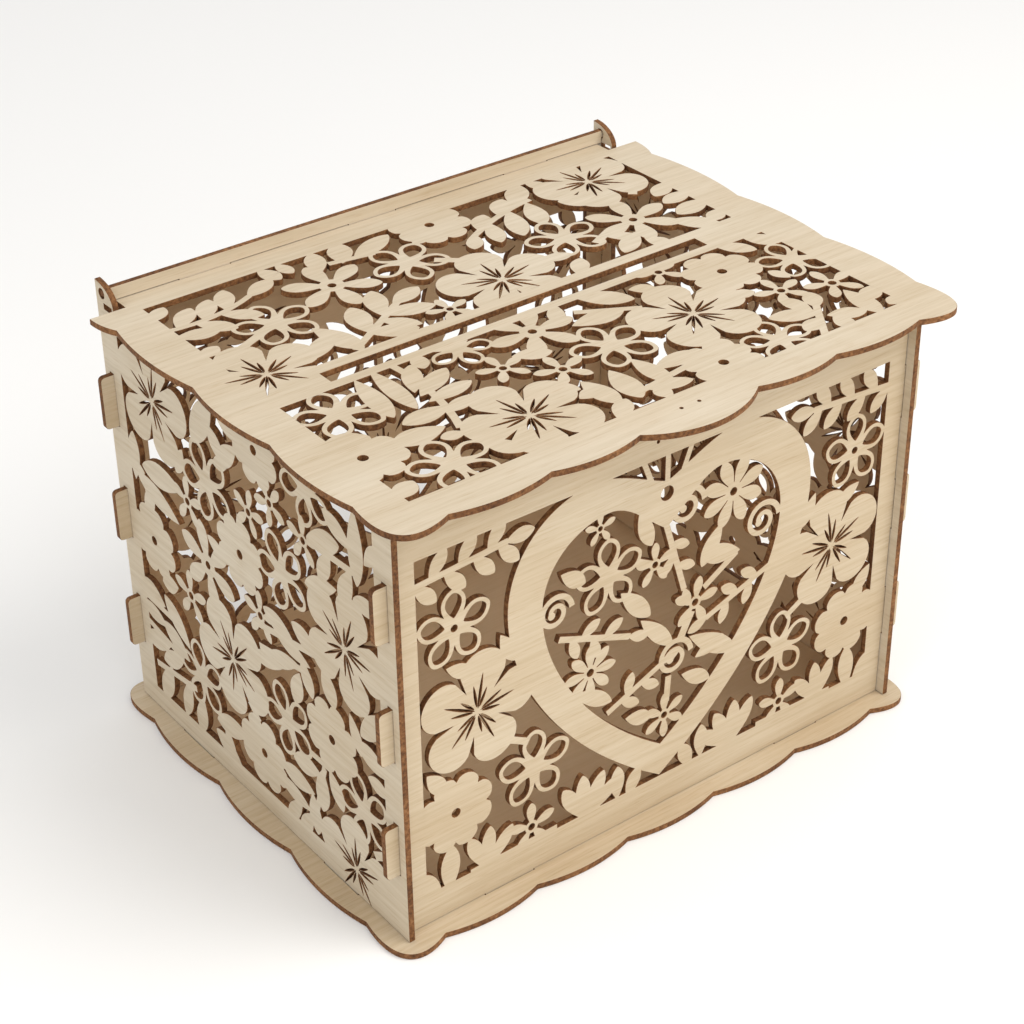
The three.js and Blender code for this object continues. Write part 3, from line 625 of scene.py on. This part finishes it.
LID_ART = [
    hibiscus(*LEFT_HIBISCUS), hibiscus(9, 17, 32, 85), hibiscus(110, 78, 31, 30),
    loop_flower(-98, 46, 21, 90), loop_flower(-15, 60, 21, 45), loop_flower(60, 34, 21, 90),
    star_flower(-57, 62, 24, 6, 90), star_flower(99, 29, 24, 6, 75), star_flower(-28, 8, 12, 5, 90),
    daisy(17, 87, 21),
    sprig(-141, 70, -93, 77, (0.1, 0.38, 0.66), (0.28, 0.56), 21, -4),
    leaf(-142, 62, -121, 56, 11), leaf(-142, 82, -130, 92, 9), leaf(-142, 38, -130, 44, 9),
    leaf(-76, 98, -72, 82, 10), leaf(-54, 76, -46, 97, 11), leaf(-40, 78, -30, 98, 13),
    leaf(-34, 78, -5, 91, 12), stem(-46, 82, -22, 78, 4), leaf(-66, 98, -64, 84, 8),
    leaf(32, 66, 45, 80, 11), leaf(50, 73, 63, 89, 12), leaf(63, 78, 80, 97, 13), leaf(28, 64, 18, 51, 9),
    leaf(41, 71, 33, 49, 10), leaf(57, 76, 46, 48, 12), leaf(70, 78, 62, 52, 12),
    stem(22, 60, 74, 80, 4, 3), leaf(-70, 12, -63, 38, 13), leaf(-71, 12, -49, 2, 13),
    leaf(-56, 23, -30, 16, 12), leaf(-56, 22, -46, 46, 12), leaf(-46, 28, -26, 36, 11),
    leaf(-60, 20, -46, 4, 9), stem(-84, 2, -38, 32, 4), leaf(-88, 32, -80, 1, 13), leaf(-106, 6, -84, 22, 11),
    leaf(143, 53, 125, 43, 11), leaf(144, 38, 123, 34, 11), leaf(144, 25, 120, 20, 13),
    leaf(112, 18, 130, -2, 13), leaf(142, 12, 128, 4, 10), leaf(106, 55, 83, 69, 14),
    leaf(92, 18, 72, 3, 11), leaf(90, 10, 96, -4, 10), leaf(76, 24, 90, 12, 9), leaf(40, -2, 52, 12, 10),
    stem(118, 52, 128, 64, 5), stem(-126, 34, -108, 42, 5), leaf(34, 22, 52, 18, 9),
    leaf(-2, 74, 8, 78, 8), stem(-4, 54, 8, 44, 5), stem(68, 20, 80, 26, 5), leaf(84, 98, 90, 86, 9),
    loop_flower(-121, -40, 21, 90), loop_flower(-107, -103, 21, 90), loop_flower(8, -65, 21, 95),
    loop_flower(130, -52, 19, 85), loop_flower(70, -108, 19, 80), hibiscus(-59, -92, 32, 100),
    hibiscus(56, -65, 32, 85),
    daisy(-134, -77, 20), daisy(95, -41, 20), daisy(36, -108, 19), loop_flower(-48, -25, 17, 200),
    star_flower(-43, -52, 13, 5, 90), star_flower(-23, -69, 14, 5, 90), star_flower(103, -73, 14, 5, 90),
    star_flower(127, -82, 15, 5, 90), star_flower(71, -23, 13, 5, 90), star_flower(-12, -33, 23, 6, 60),
    leaf(-100, -20, -105, -58, 11), leaf(-90, -17, -93, -58, 10), leaf(-86, -46, -73, -24, 10),
    leaf(-86, -50, -62, -36, 11), leaf(-86, -56, -60, -52, 10), leaf(-80, -64, -106, -65, 12),
    leaf(-92, -77, -119, -76, 14), stem(-80, -18, -88, -82, 4, 4), leaf(-88, -96, -78, -114, 11),
    leaf(-66, -62, -84, -68, 9), leaf(-142, -58, -124, -60, 9), leaf(-88, -86, -100, -84, 8),
    leaf(-142, -112, -128, -104, 11), leaf(23, -17, 45, -37, 14), leaf(5, -40, 34, -42, 13),
    leaf(12, -18, 2, -34, 9), leaf(48, -28, 60, -34, 9), stem(14, -30, 42, -46, 4),
    leaf(-34, -46, -16, -53, 11), leaf(-24, -82, -22, -108, 12), leaf(-8, -82, -12, -110, 13),
    leaf(6, -80, 7, -108, 11), leaf(-32, -118, -18, -106, 10), leaf(-8, -104, 16, -111, 10),
    leaf(8, -94, 34, -92, 11), leaf(-40, -74, -28, -88, 9), leaf(-2, -118, -2, -106, 9),
    leaf(104, -100, 79, -90, 12), leaf(100, -98, 97, -78, 10), leaf(104, -96, 112, -82, 10),
    leaf(100, -104, 84, -109, 10), leaf(102, -104, 120, -112, 11), leaf(104, -106, 104, -120, 10),
    stem(88, -118, 108, -90, 4), leaf(126, -90, 124, -118, 12), leaf(143, -96, 126, -104, 11),
    leaf(143, -110, 132, -114, 8), leaf(80, -62, 93, -66, 9), leaf(-34, -94, -22, -92, 9),
    leaf(44, -88, 50, -100, 9), stem(-80, -112, -70, -106, 5), stem(-14, -106, 24, -100, 4),
    leaf(110, -17, 124, -34, 11), leaf(127, -18, 139, -35, 12), leaf(-66, -17, -70, -31, 9),
    leaf(116, -66, 112, -54, 7),
]

FRONT_WINDOW = rectangle(-136, 17.5, 136, 196)
SIDE_WINDOW = rectangle(-105, 13, 103, 214)
LID_WINDOWS = [rectangle(-138.5, -116, 138.5, -21), rectangle(-138.5, 1, 138.5, 96)]
CARD_SLOT = rectangle(-108.5, -15, 108.5, -6)

# ---- materials -----------------------------------------------------------------------------------

INNER_STAIN_AND_SHADE_TONE = "#e3c299"  # browner tone inside the walls and on the base: partly painted shade and warm bounced light, partly the veneer's own browner back face
INNER_STAIN_AND_SHADE_SHARE = 0.55  # how much of it is mixed in


def linear(hex_colour):
    """sRGB hex to linear RGBA."""
    srgb = np.array([int(hex_colour[i:i + 2], 16) for i in (1, 3, 5)]) / 255
    value = np.where(srgb <= 0.04045, srgb / 12.92, ((srgb + 0.055) / 1.055) ** 2.4)
    return (*value, 1.0)


def add(tree, kind, inputs=None, **settings):
    """Adds a node with its settings; an input is a value or another node's output socket."""
    new = tree.nodes.new(kind)
    for name, value in settings.items():
        setattr(new, name, value)
    for name, value in (inputs or {}).items():
        socket = new.inputs[name]
        if isinstance(value, bpy.types.NodeSocket):
            tree.links.new(value, socket)
        else:
            socket.default_value = value
    return new


def start_material(name):
    """An empty node tree with a Principled shader, and its Object coordinates."""
    material = bpy.data.materials.new(name)
    material.use_nodes = True
    tree = material.node_tree
    tree.nodes.clear()
    shader = add(tree, "ShaderNodeBsdfPrincipled")
    add(tree, "ShaderNodeOutputMaterial", {"Surface": shader.outputs["BSDF"]})
    coords = add(tree, "ShaderNodeTexCoord").outputs["Object"]
    return material, tree, shader, coords


def ramp(tree, factor, stops):
    """A colour ramp over hex colours at the given places."""
    new = add(tree, "ShaderNodeValToRGB", {"Fac": factor})
    band = new.color_ramp
    while len(band.elements) < len(stops):
        band.elements.new(0.5)
    for element, (place, colour) in zip(band.elements, stops):
        element.position = place
        element.color = linear(colour)
    return new.outputs["Color"]


def within_walls(tree, coords):
    """1 on the inner faces of the walls and base, where the browner tone with its painted shade goes, 0
    elsewhere: each coordinate is under its limit.
    """
    axes = add(tree, "ShaderNodeSeparateXYZ", {"Vector": coords}).outputs
    limits = ((axes["X"], HALF_WIDTH - PLY / 2), (axes["Y"], PANEL_Y + 0.5), (axes["Z"], LID_LOW[2] - 0.1))
    mask = 1.0
    for axis, limit in limits:
        size = add(tree, "ShaderNodeMath", {0: axis}, operation="ABSOLUTE").outputs[0]
        below = add(tree, "ShaderNodeMath", {0: size, 1: limit * MM}, operation="LESS_THAN").outputs[0]
        mask = add(tree, "ShaderNodeMath", {0: mask, 1: below}, operation="MULTIPLY").outputs[0]
    above_base = add(tree, "ShaderNodeMath", {0: axes["Z"], 1: PLY / 2 * MM}, operation="GREATER_THAN")
    return add(tree, "ShaderNodeMath", {0: mask, 1: above_base.outputs[0]}, operation="MULTIPLY").outputs[0]


def basswood_face(name, pale, mid, dark, grain_axis):
    """Basswood veneer, rotary cut, raw and sanded: cream, nearly plain, with soft long grain.

    Grain lines are about 2.5 mm apart and 90 mm long, the fibres 0.7 mm (drawn coarser than the real
    0.1 mm, so that they show), and the board's cloudy tone changes over some 70 mm. On the
    inner faces of the walls and base the veneer is painted a little browner: painted shade and warm
    bounced light inside the box, over the veneer's own browner back face.
    """
    material, tree, shader, coords = start_material(name)

    def stretched(across_mm, along_mm, detail, offset):
        scale = [1 / (across_mm * MM)] * 3
        scale[grain_axis] = 1 / (along_mm * MM)
        place = add(tree, "ShaderNodeMapping", {"Vector": coords, "Scale": scale,
                                                "Location": (offset, offset, offset)})
        return add(tree, "ShaderNodeTexNoise", {"Vector": place.outputs["Vector"], "Scale": 1.0,
                                                "Detail": detail, "Roughness": 0.55}).outputs["Fac"]

    grain = stretched(2.5, 90, 3.0, 3.7)
    fibre = stretched(0.7, 14, 2.0, 9.1)
    cloud = stretched(45, 110, 2.0, 1.3)
    tone = ramp(tree, grain, [(0.28, dark), (0.5, mid), (0.68, pale)])
    cloudy = ramp(tree, cloud, [(0.3, "#f3ede4"), (0.7, "#ffffff")])
    first = add(tree, "ShaderNodeMix", {0: 1.0, 6: tone, 7: cloudy}, data_type="RGBA", blend_type="MULTIPLY")
    fleck = ramp(tree, fibre, [(0.25, "#e6dac8"), (0.45, "#ffffff")])
    second = add(tree, "ShaderNodeMix", {0: 0.6, 6: first.outputs[2], 7: fleck}, data_type="RGBA",
                 blend_type="MULTIPLY")
    # Painted shade and warm bounced light, over the veneer's own browner back: the inner faces are mixed
    # towards a browner tone.
    share = add(tree, "ShaderNodeMath", {0: within_walls(tree, coords), 1: INNER_STAIN_AND_SHADE_SHARE}, operation="MULTIPLY")
    inner_stain_and_shade = add(tree, "ShaderNodeMix", {0: share.outputs[0], 6: second.outputs[2],
                                        7: linear(INNER_STAIN_AND_SHADE_TONE)}, data_type="RGBA")
    tree.links.new(inner_stain_and_shade.outputs[2], shader.inputs["Base Color"])
    bump = add(tree, "ShaderNodeBump", {"Height": fibre, "Strength": 0.12, "Distance": 0.0002})
    tree.links.new(bump.outputs["Normal"], shader.inputs["Normal"])
    shader.inputs["Roughness"].default_value = 0.62
    shader.inputs["IOR"].default_value = 1.45
    return material


def burnt_edge(name):
    """The cut edge of laser-cut ply: charred brown, streaked along the beam, slightly uneven."""
    material, tree, shader, coords = start_material(name)
    place = add(tree, "ShaderNodeMapping", {"Vector": coords, "Scale": (1 / (1.6 * MM),) * 3})
    streak = add(tree, "ShaderNodeTexNoise", {"Vector": place.outputs["Vector"], "Scale": 1.0,
                                              "Detail": 3.0, "Roughness": 0.6}).outputs["Fac"]
    wide = add(tree, "ShaderNodeMapping", {"Vector": coords, "Scale": (1 / (26 * MM),) * 3})
    cloud = add(tree, "ShaderNodeTexNoise", {"Vector": wide.outputs["Vector"], "Scale": 1.0,
                                             "Detail": 2.0}).outputs["Fac"]
    char = ramp(tree, streak, [(0.3, "#573619"), (0.52, "#80552f"), (0.75, "#a0744a")])
    patch = ramp(tree, cloud, [(0.3, "#c2b6a8"), (0.7, "#ffffff")])
    mix = add(tree, "ShaderNodeMix", {0: 1.0, 6: char, 7: patch}, data_type="RGBA", blend_type="MULTIPLY")
    tree.links.new(mix.outputs[2], shader.inputs["Base Color"])
    shader.inputs["Roughness"].default_value = 0.8
    shader.inputs["IOR"].default_value = 1.4
    return material


def plain_floor(name):
    """A matt, nearly white studio floor."""
    material, _, shader, _ = start_material(name)
    shader.inputs["Base Color"].default_value = linear("#f4f3f1")
    shader.inputs["Roughness"].default_value = 0.9
    return material


EDGE = burnt_edge("burnt_ply_edge")
# One basswood throughout; its tone per panel is painted light: the lid palest as the best-lit face, the front
# and back warmer and darker, the sides greyer as under weaker, cool light.
LID_FACE = basswood_face("basswood_lid", "#cfc1ab", "#cabca5", "#c3b49b", 0)
CROSS_FACE = basswood_face("basswood_front", "#c8b89e", "#c3b297", "#bba98c", 0)
SIDE_FACE = basswood_face("basswood_side", "#cabea9", "#c5b8a2", "#bcae97", 1)
BASE_FACE = basswood_face("basswood_base", "#cbbaa0", "#c6b498", "#bdaa8c", 0)

# ---- the sheets ------------------------------------------------------------------------------------


def make_base():
    """The base plate, with a slot for each tab of the walls."""
    slots = [tab_slot(end * BASE_TABS_CROSS, side * PANEL_Y, True) for end in (-1, 1) for side in (-1, 1)]
    slots += [tab_slot(side * SIDE_X, end * BASE_TABS_SIDE, False) for end in (-1, 1) for side in (-1, 1)]
    flat = triangulate(base_outline(), [], slots, [])
    return sheet_mesh("base_sheet", flat, lying(BASE_LOW[2]), BASE_FACE)


def make_cross_panel(name, height, outer_y, heart_art, holes):
    """The front or back panel: the heart ring and its art, between two mirrored corners."""
    art = [HEART_RING, *CORNER_ART, *map(mirrored_motif, CORNER_ART), *heart_art]
    flat = triangulate(cross_outline(height), [FRONT_WINDOW], holes, art)
    return sheet_mesh(name, flat, facing_front(outer_y, BASE_TOP), CROSS_FACE)


def make_side_panel(name, low_x):
    """A side panel, with the slots for the side tabs and the holes of its ear."""
    slots = [tab_slot(y, z, False) for y in (-PANEL_Y, PANEL_Y) for z in TAB_HEIGHTS]
    hinge_z = LID_TOP - BASE_TOP + HINGE_ABOVE_LID
    pivot = ellipse(HINGE_Y, hinge_z, PIVOT_RADIUS, PIVOT_RADIUS, steps=36)
    lid_low = LID_LOW[2] - BASE_TOP
    ear_slot = rectangle(EAR_SLOT_FROM, lid_low + EAR_SLOT_FOOT, EAR_SLOT_TO, lid_low + EAR_SLOT_HEAD)
    cuts = [pivot, ear_slot, *slots, *hibiscus_slits(*LOW_HIBISCUS)]
    flat = triangulate(side_outline(), [SIDE_WINDOW], cuts, SIDE_ART)
    return sheet_mesh(name, flat, facing_side(low_x, BASE_TOP), SIDE_FACE)


def make_lid():
    """The lid, with two pierced windows, the card slot between them, and the bar's slots."""
    slots = [tab_slot(x, HINGE_Y, True) for x in RAIL_TABS]
    pilots = [pilot_hole(*place) for place in LID_PILOTS]
    cuts = [CARD_SLOT, *slots, *pilots, *hibiscus_slits(*LEFT_HIBISCUS)]
    flat = triangulate(lid_outline(), LID_WINDOWS, cuts, LID_ART)
    return sheet_mesh("lid_sheet", flat, lying(LID_LOW[2]), LID_FACE)


def make_bar():
    """The hinge bar, upright on the lid's rear tongue."""
    flat = triangulate(bar_outline(), [], [], [])
    return sheet_mesh("hinge_bar_sheet", flat, facing_front(BAR_LOW[1], LID_TOP), LID_FACE)


def install(piece, body, node):
    """A sheet rides on its body and stands for its CAD node."""
    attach(piece, body)
    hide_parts(node)


install(make_base(), "walls", "base_plate")
install(make_cross_panel("front_sheet", WALL_HEIGHT, FRONT_LOW[1], HEART_ART,
                         [pilot_hole(*FRONT_PILOT)]),
        "walls", "front_panel")
install(make_cross_panel("back_sheet", BACK_HEIGHT, BACK_LOW[1], BACK_HEART_ART, []),
        "walls", "back_panel")
install(make_side_panel("left_side_sheet", -HALF_WIDTH), "walls", "left_side_panel")
install(make_side_panel("right_side_sheet", HALF_WIDTH - PLY), "walls", "right_side_panel")
install(make_lid(), "lid", "lid_panel")
install(make_bar(), "lid", "hinge_bar")

# ---- floor, light and camera -----------------------------------------------------------------------

CAMERA_AZIMUTH = -36.97  # degrees, seen from the front left
CAMERA_ELEVATION = 32.39
CAMERA_ROLL = -0.78
CAMERA_DISTANCE = 1.115  # metres from the middle of the box
CAMERA_LENS = 80.0  # millimetres
MIDDLE_HEIGHT = 0.113  # metres, the point that the camera is aimed at
LIGHT_AIM_HEIGHT = 0.1  # metres, the point that the lights are aimed at
FLOOR_REACH = 15.0  # metres, half the floor's side
FLOOR_DROP = 0.0002  # metres below the base, so that the two faces don't coincide
SKY_STRENGTH = 0.8


def from_angles(azimuth, elevation):
    """Unit vector towards a viewer at an azimuth from the front and an elevation."""
    a, e = math.radians(azimuth), math.radians(elevation)
    return Vector((math.sin(a) * math.cos(e), -math.cos(a) * math.cos(e), math.sin(e)))


def look(obj, place, target, roll=0.0):
    """Puts an object at a place, facing a target, turned by the roll in degrees."""
    obj.location = place
    turn = (Vector(target) - Vector(place)).to_track_quat("-Z", "Y").to_matrix()
    spin = Matrix.Rotation(math.radians(roll), 3, "Z")
    obj.rotation_euler = (turn @ spin).to_euler()


def make_camera():
    """The camera, at its angles and distance from the middle of the box."""
    data = bpy.data.cameras.new("camera")
    data.lens = CAMERA_LENS
    data.sensor_width = 36.0
    camera = bpy.data.objects.new("camera", data)
    bpy.context.scene.collection.objects.link(camera)
    middle = Vector((0, 0, MIDDLE_HEIGHT))
    look(camera, middle + from_angles(CAMERA_AZIMUTH, CAMERA_ELEVATION) * CAMERA_DISTANCE, middle,
         CAMERA_ROLL)
    bpy.context.scene.camera = camera


def soft_light(name, azimuth, elevation, distance, size, power, colour):
    """A round soft box that faces the box; distance and size in metres, power in watts."""
    data = bpy.data.lights.new(name, "AREA")
    data.shape = "DISK"
    data.size = size
    data.energy = power
    data.color = colour
    light = bpy.data.objects.new(name, data)
    bpy.context.scene.collection.objects.link(light)
    look(light, from_angles(azimuth, elevation) * distance, (0, 0, LIGHT_AIM_HEIGHT))


def make_stage():
    """The floor, the white world and three soft lights."""
    mesh = bpy.data.meshes.new("floor")
    corners = np.array([(-1, -1, 0), (1, -1, 0), (1, 1, 0), (-1, 1, 0)]) * FLOOR_REACH
    mesh.from_pydata(corners, [], [(0, 1, 2, 3)])
    mesh.materials.append(plain_floor("studio_floor"))
    floor = bpy.data.objects.new("floor", mesh)
    bpy.context.scene.collection.objects.link(floor)
    floor.location.z = -FLOOR_DROP
    world = bpy.data.worlds.new("studio")
    bpy.context.scene.world = world
    world.use_nodes = True
    sky = world.node_tree.nodes["Background"]
    sky.inputs["Color"].default_value = (1.0, 1.0, 1.0, 1.0)
    sky.inputs["Strength"].default_value = SKY_STRENGTH
    soft_light("key", 35, 55, 1.8, 1.2, 16, (1.0, 0.97, 0.93))
    soft_light("fill", -75, 35, 2.0, 1.4, 7, (0.93, 0.96, 1.0))
    soft_light("front", -12, 14, 2.2, 1.5, 9, (1.0, 0.99, 0.97))
    bpy.context.scene.view_settings.view_transform = "Standard"


make_camera()
make_stage()
